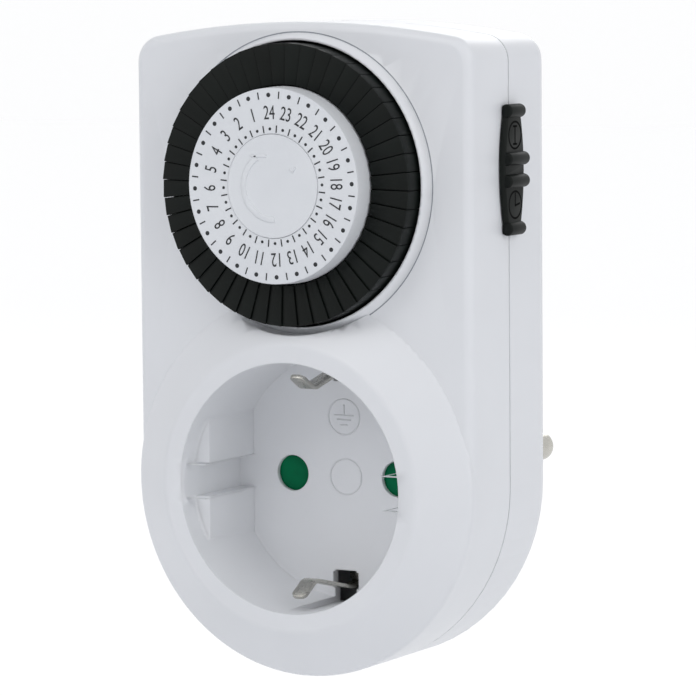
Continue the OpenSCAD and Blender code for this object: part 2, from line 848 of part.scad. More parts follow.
module earth_sleeve() {
    strip_y = earth_hole_y + earth_hole_r + 0.4;
    color("silver") upright() {
        translate([0, earth_hole_y, 0])
            tube(earth_hole_r + 0.7, earth_hole_r - 0.1, plug_end_t, 14);
        block([-1.4, strip_y - 0.3, 12], [1.4, strip_y + 0.3, earth_base_z - strip_t]);
    }
}

// A pin with a rounded tip, a flush shoulder, a thinner shank in the plug and a head riveted over
module contact_pin() {
    tip_r = 1.5;
    head_r = 3.6;
    rotate_extrude() edge_profile(pin_r, -pin_len, 0, tip_r, 0);
    rod(shoulder_r, 0, shoulder_t);
    rod(shank_r, 0, back_z);
    rod(head_r, back_z, back_z + 1.2);
}

module live_pin() {
    color("silver") upright() translate([pin_x, 0, 0]) {
        contact_pin();
        rod(1.5, back_z + 1, inner_back_z);
    }
}

module neutral_pin() {
    color("silver") upright() translate([-pin_x, 0, 0]) contact_pin();
}

// A slit sleeve on a foot that grips the pin of the plug in front
module grip_sleeve() {
    difference() {
        union() {
            tube(contact_r + contact_wall, contact_r, contact_low_z, contact_top_z);
            rod(contact_r + contact_wall, contact_low_z, contact_low_z + strip_t);
        }
        block([-5, -0.4, contact_low_z + 2], [5, 0.4, contact_top_z + 1]);
    }
}

module live_contact() {
    foot_top_z = contact_low_z + strip_t;
    turn_y = blade_root_y + strip_t / 2;
    seat_z = blade_z + blade_t / 2 - blade_root_r - run;
    color("goldenrod") upright() {
        translate([pin_x, 0, 0]) {
            grip_sleeve();
            block([-2, 2.8, contact_low_z], [2, turn_y, foot_top_z]);
        }
        block([pin_x, turn_y - 2, contact_low_z], [lever_x + 1.5, turn_y, foot_top_z]);
        block([lever_x - 1.5, turn_y - strip_t, contact_low_z], [lever_x + 1.5, turn_y, seat_z]);
    }
}

module neutral_contact() {
    color("goldenrod") upright() translate([-pin_x, 0, 0]) {
        grip_sleeve();
        rod(1.5, back_z + 1.2, contact_low_z);
    }
}

front_housing();
rear_housing();
housing_screws();
dial_wheel();
dial_face();
dial_cap();
dial_screw();
mechanism_plate();
drive_gear();
motor_can();
motor_pinion();
tracer_lever();
lever_pin();
switch_blade();
fixed_contact();
mode_slider();
shutter();
shutter_spring();
front_earth_clips();
rear_earth_contacts();
earth_rivet();
earth_sleeve();
live_pin();
neutral_pin();
live_contact();
neutral_contact();
for (g = [1:groups])
    tappets(g);
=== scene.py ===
"""Looks of the plug-in 24 hour timer switch: a white moulded housing with a socket in front,
a black ring of tappets round a printed dial, and a black slider on the side."""

import json
import math

import bmesh
import bpy
from mathutils import Matrix, Vector

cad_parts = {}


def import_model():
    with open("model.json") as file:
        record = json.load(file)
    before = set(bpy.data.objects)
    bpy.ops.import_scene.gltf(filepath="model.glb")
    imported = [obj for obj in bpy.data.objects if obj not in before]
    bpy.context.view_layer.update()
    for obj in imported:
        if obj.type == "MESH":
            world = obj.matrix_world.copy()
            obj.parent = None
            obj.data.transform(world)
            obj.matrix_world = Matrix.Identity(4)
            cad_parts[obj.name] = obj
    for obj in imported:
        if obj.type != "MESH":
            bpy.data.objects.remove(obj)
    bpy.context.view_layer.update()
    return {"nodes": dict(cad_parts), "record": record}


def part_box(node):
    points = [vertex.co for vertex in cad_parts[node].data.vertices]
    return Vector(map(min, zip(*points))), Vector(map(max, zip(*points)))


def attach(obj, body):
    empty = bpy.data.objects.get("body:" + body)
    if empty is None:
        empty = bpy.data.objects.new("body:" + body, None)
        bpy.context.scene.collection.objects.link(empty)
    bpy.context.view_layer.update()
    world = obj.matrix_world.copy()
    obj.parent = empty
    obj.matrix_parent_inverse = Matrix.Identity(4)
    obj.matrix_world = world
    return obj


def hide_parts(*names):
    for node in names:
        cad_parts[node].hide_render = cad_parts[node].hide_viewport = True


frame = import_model()

MM = 0.001
node = frame["nodes"]


# ---------------------------------------------------------------------------------------------
# Sizes read from the frame
# ---------------------------------------------------------------------------------------------

DIAL_Z = (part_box("dial_face")[0].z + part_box("dial_face")[1].z) / 2
DIAL_FRONT_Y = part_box("dial_face")[0].y
CAP_FRONT_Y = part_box("dial_cap")[0].y
WELL_FLOOR_Y = -31.5 * MM


# ---------------------------------------------------------------------------------------------
# Camera, light and floor
# ---------------------------------------------------------------------------------------------

CAMERA_YAW, CAMERA_PITCH, CAMERA_ROLL = (math.radians(turn) for turn in (29.70, 5.35, -0.49))
CAMERA_PLACE = Vector((300.3, -556.7, 76.9)) * MM
LENS, SENSOR = 200.19, 36
LIGHTS_AIM = Vector((0, -35, 20)) * MM


def camera():
    """The photograph's view: from the right and a little above, with a long lens."""
    yaw, pitch, roll = CAMERA_YAW, CAMERA_PITCH, CAMERA_ROLL
    ahead = Vector((-math.sin(yaw) * math.cos(pitch), math.cos(yaw) * math.cos(pitch),
                    -math.sin(pitch)))
    right = Vector((math.cos(yaw), math.sin(yaw), 0))
    up = right.cross(ahead)
    tilted_right = math.cos(roll) * right + math.sin(roll) * up
    tilted_up = math.cos(roll) * up - math.sin(roll) * right
    turn = Matrix((tilted_right, tilted_up, -ahead)).transposed()
    data = bpy.data.cameras.new("camera")
    data.lens = LENS
    data.sensor_width = SENSOR
    data.clip_start = 0.02
    data.clip_end = 20
    eye = bpy.data.objects.new("camera", data)
    bpy.context.scene.collection.objects.link(eye)
    eye.matrix_world = Matrix.Translation(CAMERA_PLACE) @ turn.to_4x4()
    bpy.context.scene.camera = eye


def srgb(hex_colour):
    """A hex colour as the linear values that a shader takes."""
    channels = [int(hex_colour[i:i + 2], 16) / 255 for i in (1, 3, 5)]
    return [c / 12.92 if c <= 0.04045 else ((c + 0.055) / 1.055) ** 2.4 for c in channels] + [1]


def add_node(tree, kind, links=None, **settings):
    """Adds a node, sets its options or its inputs' values, and links outputs to its inputs."""
    made = tree.nodes.new(kind)
    for name, value in settings.items():
        if name in made.inputs:
            made.inputs[name].default_value = value
        else:
            setattr(made, name, value)
    for name, output in (links or {}).items():
        tree.links.new(output, made.inputs[name])
    return made


def light_path_mix(tree, seen, lit):
    """Shows one shader to the camera and in reflections, and lights the object with another."""
    path = add_node(tree, "ShaderNodeLightPath")
    shiny = add_node(tree, "ShaderNodeMath", {0: path.outputs["Is Glossy Ray"],
                                              1: path.outputs["Is Transmission Ray"]},
                     operation="MAXIMUM")
    direct = add_node(tree, "ShaderNodeMath", {0: path.outputs["Is Camera Ray"],
                                               1: shiny.outputs[0]}, operation="MAXIMUM")
    return add_node(tree, "ShaderNodeMixShader", {0: direct.outputs[0], 1: lit, 2: seen})


def world():
    """An even pale room, seen as white."""
    made = bpy.data.worlds.new("studio")
    bpy.context.scene.world = made
    made.use_nodes = True
    tree = made.node_tree
    tree.nodes.clear()
    white = add_node(tree, "ShaderNodeBackground", Color=(1, 1, 1, 1), Strength=1.0)
    room = add_node(tree, "ShaderNodeBackground", Color=srgb("#eff1f6"), Strength=0.63)
    mixed = light_path_mix(tree, white.outputs[0], room.outputs[0])
    add_node(tree, "ShaderNodeOutputWorld", {"Surface": mixed.outputs[0]})


def area_light(name, place, size, power, colour="#ffffff"):
    """A soft box aimed at the middle of the object."""
    data = bpy.data.lights.new(name, "AREA")
    data.shape = "DISK"
    data.size = size
    data.energy = power
    data.color = srgb(colour)[:3]
    lamp = bpy.data.objects.new(name, data)
    bpy.context.scene.collection.objects.link(lamp)
    lamp.location = Vector(place)
    lamp.rotation_euler = (LIGHTS_AIM - lamp.location).to_track_quat("-Z", "Y").to_euler()


def floor_and_backdrop():
    """A pale floor well below the part, which keeps its shadow, and a white wall far behind."""
    material = bpy.data.materials.new("white_sweep")
    material.use_nodes = True
    tree = material.node_tree
    tree.nodes.clear()
    matt = add_node(tree, "ShaderNodeBsdfDiffuse", Color=srgb("#f2f3f5"))
    glow = add_node(tree, "ShaderNodeEmission", Color=(1, 1, 1, 1), Strength=1.12)
    seen = add_node(tree, "ShaderNodeMixShader", {1: matt.outputs[0], 2: glow.outputs[0]}, Fac=0.8)
    mixed = light_path_mix(tree, seen.outputs[0], matt.outputs[0])
    add_node(tree, "ShaderNodeOutputMaterial", {"Surface": mixed.outputs[0]})
    for name, place, turn in (("floor", (0, 0, -0.11), 0), ("backdrop", (0, 4, 0), math.pi / 2)):
        bpy.ops.mesh.primitive_plane_add(size=12, location=place, rotation=(turn, 0, 0))
        plane = bpy.context.object
        plane.name = name
        plane.data.materials.append(material)


# ---------------------------------------------------------------------------------------------
# Materials
# ---------------------------------------------------------------------------------------------

def new_material(name):
    """A node material with its principled shader, the object's coordinates and the output."""
    material = bpy.data.materials.new(name)
    material.use_nodes = True
    tree = material.node_tree
    tree.nodes.clear()
    place = add_node(tree, "ShaderNodeTexCoord")
    shader = add_node(tree, "ShaderNodeBsdfPrincipled")
    add_node(tree, "ShaderNodeOutputMaterial", {"Surface": shader.outputs["BSDF"]})
    return material, tree, place.outputs["Object"], shader


def vary_colour(tree, place, shader, dark, light, patch_mm):
    """Base colour that drifts between two close tones over patches of the given size."""
    cloud = add_node(tree, "ShaderNodeTexNoise", {"Vector": place}, Scale=1000 / patch_mm,
                     Detail=3.0)
    ramp = add_node(tree, "ShaderNodeValToRGB", {"Fac": cloud.outputs["Fac"]})
    ramp.color_ramp.elements[0].position = 0.3
    ramp.color_ramp.elements[0].color = srgb(dark)
    ramp.color_ramp.elements[1].position = 0.7
    ramp.color_ramp.elements[1].color = srgb(light)
    tree.links.new(ramp.outputs["Color"], shader.inputs["Base Color"])


def vary_roughness(tree, place, shader, low, high, patch_mm):
    """Roughness that drifts between two values, as handling and moulding leave it."""
    cloud = add_node(tree, "ShaderNodeTexNoise", {"Vector": place}, Scale=1000 / patch_mm,
                     Detail=2.0)
    spread = add_node(tree, "ShaderNodeMapRange", {"Value": cloud.outputs["Fac"]})
    spread.inputs["To Min"].default_value = low
    spread.inputs["To Max"].default_value = high
    tree.links.new(spread.outputs["Result"], shader.inputs["Roughness"])


def grain(tree, place, shader, grain_mm, depth_mm, edge_mm):
    """A fine moulded grain over edges that are broken by the given radius."""
    spots = add_node(tree, "ShaderNodeTexNoise", {"Vector": place}, Scale=1000 / grain_mm,
                     Detail=2.0)
    edge = add_node(tree, "ShaderNodeBevel", Radius=edge_mm * MM)
    edge.samples = 6
    bump = add_node(tree, "ShaderNodeBump", {"Height": spots.outputs["Fac"],
                                             "Normal": edge.outputs["Normal"]},
                    Distance=depth_mm * MM, Strength=1.0)
    tree.links.new(bump.outputs["Normal"], shader.inputs["Normal"])


def white_abs():
    """Moulded white ABS: a cool white with a soft satin gloss and a barely visible grain."""
    material, tree, place, shader = new_material("moulded_white_abs")
    vary_colour(tree, place, shader, "#eaebed", "#eff0f2", patch_mm=30)
    vary_roughness(tree, place, shader, 0.3, 0.4, patch_mm=8)
    grain(tree, place, shader, grain_mm=0.35, depth_mm=0.004, edge_mm=0.35)
    shader.inputs["IOR"].default_value = 1.54
    return material


def white_dial_plastic():
    """Fine-matt white polystyrene of the numbered disc: evener and less glossy than the housing."""
    material, tree, place, shader = new_material("matt_white_polystyrene")
    vary_colour(tree, place, shader, "#e6e8eb", "#eceef0", patch_mm=12)
    vary_roughness(tree, place, shader, 0.42, 0.5, patch_mm=5)
    grain(tree, place, shader, grain_mm=0.2, depth_mm=0.003, edge_mm=0.25)
    shader.inputs["IOR"].default_value = 1.59
    return material


def black_polyamide():
    """Charcoal moulded polyamide of tappets and slider: satin, with lighter broken edges."""
    material, tree, place, shader = new_material("moulded_black_polyamide")
    vary_colour(tree, place, shader, "#0a0e0c", "#0f1412", patch_mm=6)
    vary_roughness(tree, place, shader, 0.42, 0.56, patch_mm=3)
    grain(tree, place, shader, grain_mm=0.3, depth_mm=0.006, edge_mm=0.12)
    shader.inputs["IOR"].default_value = 1.53
    shader.inputs["Specular IOR Level"].default_value = 0.14
    return material


def green_plastic():
    """Deep green moulded plastic of the shutter behind the pin holes."""
    material, tree, place, shader = new_material("moulded_green_polypropylene")
    vary_colour(tree, place, shader, "#006a44", "#00764c", patch_mm=4)
    vary_roughness(tree, place, shader, 0.35, 0.5, patch_mm=3)
    grain(tree, place, shader, grain_mm=0.3, depth_mm=0.004, edge_mm=0.2)
    shader.inputs["IOR"].default_value = 1.49
    shader.inputs["Specular IOR Level"].default_value = 0.08
    return material


def acetal():
    """Natural white acetal of gears, plate and lever: waxy and slightly warm."""
    material, tree, place, shader = new_material("natural_acetal")
    vary_colour(tree, place, shader, "#d9d5c6", "#e3dfd2", patch_mm=5)
    vary_roughness(tree, place, shader, 0.35, 0.45, patch_mm=3)
    grain(tree, place, shader, grain_mm=0.3, depth_mm=0.003, edge_mm=0.1)
    shader.inputs["IOR"].default_value = 1.48
    return material


def metal(name, dark, light, roughness, streak_mm):
    """Plated or rolled metal whose fine streaks run along the part's depth."""
    material, tree, place, shader = new_material(name)
    vary_colour(tree, place, shader, dark, light, patch_mm=4)
    drawn = add_node(tree, "ShaderNodeMapping", {"Vector": place})
    drawn.inputs["Scale"].default_value = (1, 0.06, 1)
    streaks = add_node(tree, "ShaderNodeTexNoise", {"Vector": drawn.outputs["Vector"]},
                       Scale=1000 / streak_mm, Detail=3.0)
    spread = add_node(tree, "ShaderNodeMapRange", {"Value": streaks.outputs["Fac"]})
    spread.inputs["To Min"].default_value = roughness * 0.75
    spread.inputs["To Max"].default_value = roughness * 1.25
    tree.links.new(spread.outputs["Result"], shader.inputs["Roughness"])
    edge = add_node(tree, "ShaderNodeBevel", Radius=0.1 * MM)
    edge.samples = 6
    bump = add_node(tree, "ShaderNodeBump", {"Height": streaks.outputs["Fac"],
                                             "Normal": edge.outputs["Normal"]},
                    Distance=0.004 * MM, Strength=1.0)
    tree.links.new(bump.outputs["Normal"], shader.inputs["Normal"])
    shader.inputs["Metallic"].default_value = 1.0
    return material


def ink():
    """Black pad-printing ink: flat and slightly uneven."""
    material, tree, place, shader = new_material("black_printing_ink")
    vary_colour(tree, place, shader, "#16181b", "#24272b", patch_mm=0.6)
    vary_roughness(tree, place, shader, 0.5, 0.65, patch_mm=1)
    return material


def shadow_grey():
    """A painted shadow: the dull grey that stands in for the shade in a fine crease between two
    white mouldings.
    """
    material, tree, place, shader = new_material("painted_crease_shadow")
    vary_colour(tree, place, shader, "#8f9399", "#a2a6ac", patch_mm=2)
    vary_roughness(tree, place, shader, 0.6, 0.7, patch_mm=1)
    return material


def engraved_black():
    """Painted shade for engraved lines in black polyamide: rough, and darker than its skin to stand
    in for the shadow in the lines.
    """
    material, tree, place, shader = new_material("engraved_lines_painted_shade")
    vary_colour(tree, place, shader, "#020303", "#050606", patch_mm=0.8)
    vary_roughness(tree, place, shader, 0.7, 0.85, patch_mm=0.5)
    shader.inputs["Specular IOR Level"].default_value = 0.05
    return material


def dress_cad_nodes(finishes):
    """Gives every CAD node the finish of its material slot."""
    slots = {s["node"]: s["material_slot"] for s in frame["record"]["subparts"]}
    for name, piece in node.items():
        piece.data.materials.clear()
        piece.data.materials.append(finishes[slots[name]])


# ---------------------------------------------------------------------------------------------
# Ways of working
# ---------------------------------------------------------------------------------------------

def deselect():
    bpy.ops.object.select_all(action="DESELECT")


def activate(piece):
    deselect()
    piece.select_set(True)
    bpy.context.view_layer.objects.active = piece


def select_in_edit(piece, faces=None, corners=None):
    """In edit mode, selects the faces or the corners for which the given test is true."""
    bpy.ops.mesh.select_mode(type="FACE" if faces else "VERT")
    bpy.ops.mesh.select_all(action="DESELECT")
    mesh = bmesh.from_edit_mesh(piece.data)
    for item in mesh.faces if faces else mesh.verts:
        if (faces or corners)(item):
            item.select_set(True)
    mesh.select_flush_mode()
    bmesh.update_edit_mesh(piece.data)


def box_between(low, high):
    """A box between two corners given in millimetres."""
    deselect()
    low, high = Vector(low) * MM, Vector(high) * MM
    bpy.ops.mesh.primitive_cube_add(size=1, location=(low + high) / 2, scale=high - low)
    bpy.ops.object.transform_apply(location=True, rotation=True, scale=True)
    return bpy.context.object


def cylinder(radius, start, end, vertices=64, radius_end=None):
    """A cylinder or cone in millimetres from one point of its axis to another."""
    deselect()
    start, end = Vector(start) * MM, Vector(end) * MM
    turn = (end - start).normalized().to_track_quat("Z", "Y").to_euler()
    radius_end = radius if radius_end is None else radius_end
    bpy.ops.mesh.primitive_cone_add(
        vertices=vertices, radius1=radius * MM, radius2=radius_end * MM,
        depth=(end - start).length, location=(start + end) / 2, rotation=turn)
    bpy.ops.object.transform_apply(location=True, rotation=True, scale=True)
    return bpy.context.object


def prism(outline, start, depth, place):
    """A flat outline in millimetres, pulled out to a prism. place(u, v, w) gives a point."""
    deselect()
    bpy.ops.mesh.primitive_circle_add(vertices=len(outline), radius=1, fill_type="NGON")
    piece = bpy.context.object
    for corner, (u, v) in zip(piece.data.vertices, outline):
        corner.co = Vector(place(u, v, start)) * MM
    bpy.ops.object.mode_set(mode="EDIT")
    bpy.ops.mesh.select_all(action="SELECT")
    pull = (Vector(place(0, 0, depth)) - Vector(place(0, 0, 0))) * MM
    bpy.ops.mesh.extrude_region_move(TRANSFORM_OT_translate={"value": pull})
    bpy.ops.mesh.select_all(action="SELECT")
    bpy.ops.mesh.normals_make_consistent(inside=False)
    bpy.ops.object.mode_set(mode="OBJECT")
    return piece


def combine(piece, tool, operation):
    """Cuts a tool out of a piece, joins it on, or keeps what they share. The tool is used up."""
    boolean = piece.modifiers.new("combine", "BOOLEAN")
    boolean.object = tool
    boolean.operation = operation
    activate(piece)
    bpy.ops.object.modifier_apply(modifier=boolean.name)
    bpy.data.objects.remove(tool)
    return piece


def round_edges(piece, width, segments=2, angle=30):
    """Rounds the sharp edges of a piece by a width in millimetres and shades it smooth."""
    bevel = piece.modifiers.new("round edges", "BEVEL")
    bevel.width = width * MM
    bevel.segments = segments
    bevel.limit_method = "ANGLE"
    bevel.angle_limit = math.radians(angle)
    activate(piece)
    bpy.ops.object.modifier_apply(modifier=bevel.name)
    bpy.ops.object.shade_smooth_by_angle(angle=math.radians(35))
    return piece


def merged_copy(name):
    """A CAD node's mesh as a new object with its doubles merged."""
    made = node[name].copy()
    made.data = node[name].data.copy()
    for key in list(made.keys()):
        del made[key]
    made.parent = None
    bpy.context.scene.collection.objects.link(made)
    weld = made.modifiers.new("merge doubles", "WELD")
    weld.merge_threshold = 0.00001 * MM
    activate(made)
    bpy.ops.object.modifier_apply(modifier=weld.name)
    return made


def shade_by_larger_faces(piece, is_flat):
    """Shades a reshaped copy smooth over its fillets, with its flats kept even."""
    activate(piece)
    bpy.ops.object.shade_smooth_by_angle(angle=math.radians(25))
    for face in piece.data.polygons:
        if is_flat(face):
            face.use_smooth = False
    even = piece.modifiers.new("even normals", "WEIGHTED_NORMAL")
    even.keep_sharp = True
    even.weight = 100
    bpy.ops.object.modifier_apply(modifier=even.name)


def settle(piece, name, body, material, finish, *stands_for):
    """Puts a finished piece's place into its mesh, names it and lets it ride on its body."""
    activate(piece)
    bpy.ops.object.transform_apply(location=True, rotation=True, scale=True)
    piece.name = name
    piece.data.name = name
    piece.data.materials.clear()
    piece.data.materials.append(material)
    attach(piece, body)
    if stands_for:
        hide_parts(*stands_for)
    return piece


def joined(pieces):
    """Several mesh objects as one."""
    deselect()
    for piece in pieces:
        piece.select_set(True)
    bpy.context.view_layer.objects.active = pieces[0]
    bpy.ops.object.join()
    return bpy.context.object


# ---------------------------------------------------------------------------------------------
# Print on the dial
# ---------------------------------------------------------------------------------------------

DIAL_TURN = math.radians(2.36)
HOURS = 24
PRINT_T = 0.03 * MM
OUTER_DOT_R, OUTER_MARK_R = 0.34 * MM, 13.83 * MM
INNER_DOT_R, INNER_MARK_R = 0.23 * MM, 8.69 * MM
TICK_LENGTH, TICK_WIDTH = 1.1 * MM, 0.2 * MM
NUMERAL_R, NUMERAL_HEIGHT, NUMERAL_SQUEEZE = 11.2 * MM, 2.1 * MM, 0.68


def hour_angle(hour):
    """Direction of an hour's mark, anticlockwise from the dial's right side."""
    return math.pi / 2 + DIAL_TURN + hour * 2 * math.pi / HOURS


def on_dial(radius, angle, front_y):
    return Vector((radius * math.cos(angle), front_y, DIAL_Z + radius * math.sin(angle)))


def dot(radius, place):
    """A printed round dot, sunk by half into the disc."""
    deselect()
    bpy.ops.mesh.primitive_cylinder_add(vertices=20, radius=radius, depth=2 * PRINT_T,
                                        location=place, rotation=(math.pi / 2, 0, 0))
    made = bpy.context.object
    bpy.ops.object.transform_apply(location=True, rotation=True, scale=True)
    return made


def tick(place, angle):
    """A printed radial tick, sunk by half into the disc."""
    deselect()
    bpy.ops.mesh.primitive_cube_add(size=1, location=place, rotation=(0, -angle, 0),
                                    scale=(TICK_LENGTH, 2 * PRINT_T, TICK_WIDTH))
    made = bpy.context.object
    bpy.ops.object.transform_apply(location=True, rotation=True, scale=True)
    return made


def numeral(hour, front_y):
    """A printed numeral whose top points out from the dial's middle."""
    deselect()
    angle = hour_angle(hour)
    bpy.ops.object.text_add()
    words = bpy.context.object
    words.data.body = str(hour)
    words.data.align_x = "CENTER"
    words.data.align_y = "CENTER"
    words.data.size = NUMERAL_HEIGHT / 0.7
    words.data.extrude = PRINT_T
    words.data.resolution_u = 3
    bpy.ops.object.convert(target="MESH")
    words = bpy.context.object
    corners = [v.co.copy() for v in words.data.vertices]
    middle = Vector([(min(c[i] for c in corners) + max(c[i] for c in corners)) / 2
                     for i in range(3)])
    squeeze = Matrix.Diagonal((NUMERAL_SQUEEZE, 1, 1, 1))
    stand = Matrix.Rotation(math.pi / 2, 4, "X")
    lean = Matrix.Rotation(math.pi / 2 - angle, 4, "Y")
    words.data.transform(Matrix.Translation(on_dial(NUMERAL_R, angle, front_y)) @ lean @ stand
                         @ squeeze @ Matrix.Translation(-middle))
    return words


def dial_print(material):
    """Dots on the hours, ticks on the half hours and the numerals between the two rings."""
    marks = []
    for hour in range(1, HOURS + 1):
        full, half = hour_angle(hour), hour_angle(hour + 0.5)
        marks.append(dot(OUTER_DOT_R, on_dial(OUTER_MARK_R, full, DIAL_FRONT_Y)))
        marks.append(dot(INNER_DOT_R, on_dial(INNER_MARK_R, full, DIAL_FRONT_Y)))
        marks.append(tick(on_dial(OUTER_MARK_R, half, DIAL_FRONT_Y), half))
        marks.append(tick(on_dial(INNER_MARK_R, half, DIAL_FRONT_Y), half))
        marks.append(numeral(hour, DIAL_FRONT_Y))
    settle(joined(marks), "dial_print", "dial", material, "black")


# ---------------------------------------------------------------------------------------------
# Tappets and the dial's cap
# ---------------------------------------------------------------------------------------------

# Millimetres: distances from the dial's axis, Y out of the housing, and gaps
STEP_ANGLE = math.radians(7.5)
TAPPET_GAP = 0.045
TAPPET_IN_R, TAPPET_STEP_R, TAPPET_OUT_R = 13.55, 15.3, 21.6
TAPPET_FOOT_Y, TAPPET_LEDGE_Y, TAPPET_HEAD_H = -44.6, -48.8, 0.9
TAPPET_LEAN = ((1, -0.14), (-1, 0.1))
STEM = (16.6, -45, -0.55), (20.2, -40.6, 0.55)


def tappet():
    """One tappet: a wedge stepped down under the numbered disc, leaning up towards its next one."""
    piece = box_between((TAPPET_IN_R, TAPPET_LEDGE_Y, -1), (TAPPET_OUT_R, TAPPET_FOOT_Y, 1))
    bpy.ops.object.mode_set(mode="EDIT")
    for radius in (TAPPET_IN_R, TAPPET_OUT_R):
        half = radius * math.tan(STEP_ANGLE / 2) - TAPPET_GAP
        select_in_edit(piece, corners=lambda v: abs(v.co.x - radius * MM) < 0.1 * MM)
        bpy.ops.transform.resize(value=(1, 1, half), center_override=(0, 0, 0))
    bpy.ops.mesh.select_all(action="SELECT")
    bpy.ops.mesh.bisect(plane_co=(TAPPET_STEP_R * MM, 0, 0), plane_no=(1, 0, 0))
    select_in_edit(piece, faces=lambda f: f.normal.y < -0.9
                   and f.calc_center_median().x > TAPPET_STEP_R * MM)
    bpy.ops.mesh.extrude_region_move(TRANSFORM_OT_translate={"value": (0, -TAPPET_HEAD_H * MM, 0)})
    for side, rise in TAPPET_LEAN:
        select_in_edit(piece, corners=lambda v: v.co.y < -49.5 * MM and v.co.z * side > 0)
        bpy.ops.transform.translate(value=(0, rise * MM, 0))
    bpy.ops.object.mode_set(mode="OBJECT")
    round_edges(piece, 0.1, segments=2)
    return joined([piece, box_between(*STEM)])


def tappet_pairs(material):
    """The 48 tappets, two to an hour, copied from one round the dial's axis."""
    pattern = tappet()
    centre = Matrix.Translation((0, 0, DIAL_Z))
    for hour in range(HOURS):
        pair = []
        for half in (0, 1):
            angle = math.pi / 2 + DIAL_TURN - (2 * hour + half) * STEP_ANGLE
            made = pattern.copy()
            made.data = pattern.data.copy()
            made.data.transform(centre @ Matrix.Rotation(-angle, 4, "Y"))
            bpy.context.scene.collection.objects.link(made)
            pair.append(made)
        body = "tappets_%02d" % (hour + 1)
        settle(joined(pair), "tappet_pair_%02d" % (hour + 1), body, material, "black", body)
    bpy.data.objects.remove(pattern)


ARROW_OUT_R, ARROW_IN_R, ARROW_H = 5.5, 4.6, 0.12
LINE_OUT_R, LINE_IN_R = 23.32, 23.15


def cap_arrow(material):
    """The low arrow on the cap that shows which way the dial is turned."""
    front = CAP_FRONT_Y / MM
    band = combine(cylinder(ARROW_OUT_R, (0, front + 0.1, 0), (0, front - ARROW_H, 0), 96),
                   cylinder(ARROW_IN_R, (0, front + 1, 0), (0, front - 1, 0), 96), "DIFFERENCE")
    gap = [(0, 0), (0.6, -9), (9, -9), (9, 9), (-5.6, 9)]
    combine(band, prism(gap, front + 2, -4, lambda u, v, w: (u, w, v)), "DIFFERENCE")
    head = prism([(-3.9, 4.75), (-3.7, 4.35), (-1.0, 4.35), (-1.0, 4.75)],
                 front + 0.1, -ARROW_H - 0.1, lambda u, v, w: (u, w, v))
    barb = prism([(3.0, 2.6), (3.6, 2.0), (4.3, 2.9), (4.0, 3.0), (3.6, 2.5), (3.2, 2.8)],
                 front + 0.1, -ARROW_H - 0.1, lambda u, v, w: (u, w, v))
    arrow = joined([round_edges(piece, 0.04) for piece in (band, head, barb)])
    arrow.data.transform(Matrix.Translation((0, 0, DIAL_Z)))
    settle(arrow, "cap_arrow", "dial", material, "dial_white")


def collar_line(material):
    """A painted shadow line: a thin grey ring round the foot of the collar, where the crease lies
    in shade.
    """
    ring = combine(cylinder(LINE_OUT_R, (0, -44.6, 0), (0, -44.83, 0), 160),
                   cylinder(LINE_IN_R, (0, -44, 0), (0, -46, 0), 160), "DIFFERENCE")
    ring.data.transform(Matrix.Translation((0, 0, DIAL_Z)))
    settle(ring, "collar_line", "housing", material, "housing")


# ---------------------------------------------------------------------------------------------
# Housing, socket and slider
# ---------------------------------------------------------------------------------------------

# The well in millimetres, as (distance from the middle plane, Y) for the outlines of its cuts
WELL_CUT_R = 19.36
GROOVE = [(15.0, -31.5), (19.5, -31.5), (19.5, -49.2), (15.0, -49.2)]
GROOVE_HALF_W = 2.62
FLAT = [(16.0, -31.7), (16.72, -31.7), (17.0, -44.5), (19.4, -44.9), (19.4, -46.8), (16.0, -46.8)]
FLAT_START_Z, FLAT_LENGTH = 2.6, 9
FLATS_END_Y, RIM_JOIN_Y = -47.3, -47.2
CLIP_ROOM_HALF_W, CLIP_ROOM_Y, CLIP_ROOM_Z = 1.93, (-43.0, -29.0), (15.0, 20.2)
SHUTTER_ROOM = (-19.3, -30.7, -4.45), (19.2, -29.0, 4.45)
FLAT_SHADED_R, SQUARE_ON = 19.3, 0.999


def beside_axis(side, outline):
    """An outline on the right, or mirrored to the left for a side of -1."""
    return [(side * u, v) for u, v in outline]


def along_z(u, v, w):
    return u, v, w


def floor_or_flat(face):
    """Whether a face in the well looks straight along an axis, as the floor and flats do."""
    in_well = face.center.xz.length < FLAT_SHADED_R * MM and face.center.y > FLATS_END_Y * MM
    return in_well and max(abs(n) for n in face.normal) > SQUARE_ON


def front_shell(material):
    """The front shell, with a groove in each drafted flat, rooms for the clips and shutter."""
    shell = merged_copy("front_housing")
    activate(shell)
    # A cut all round under the rim keeps the shading of rim and wall apart
    bpy.ops.object.mode_set(mode="EDIT")
    bpy.ops.mesh.select_all(action="SELECT")
    bpy.ops.mesh.bisect(plane_co=(0, RIM_JOIN_Y * MM, 0), plane_no=(0, 1, 0))
    bpy.ops.object.mode_set(mode="OBJECT")
    for side in (1, -1):
        tools = [prism(beside_axis(side, GROOVE), -GROOVE_HALF_W, 2 * GROOVE_HALF_W, along_z)]
        for end in (1, -1):
            tools.append(prism(beside_axis(side, FLAT), end * FLAT_START_Z, end * FLAT_LENGTH,
                               along_z))
        for tool in tools:
            combine(tool, cylinder(WELL_CUT_R, (0, -30, 0), (0, -50, 0), 256), "INTERSECT")
            combine(shell, tool, "DIFFERENCE")
        low, high = sorted(side * z for z in CLIP_ROOM_Z)
        combine(shell, box_between((-CLIP_ROOM_HALF_W, CLIP_ROOM_Y[0], low),
                                   (CLIP_ROOM_HALF_W, CLIP_ROOM_Y[1], high)), "DIFFERENCE")
    combine(shell, box_between(*SHUTTER_ROOM), "DIFFERENCE")
    shade_by_larger_faces(shell, floor_or_flat)
    settle(shell, "front_shell", "housing", material, "housing", "front_housing")


SHUTTER_FRONT_T, SHUTTER_RAISE = 1.2 * MM, 1.0 * MM


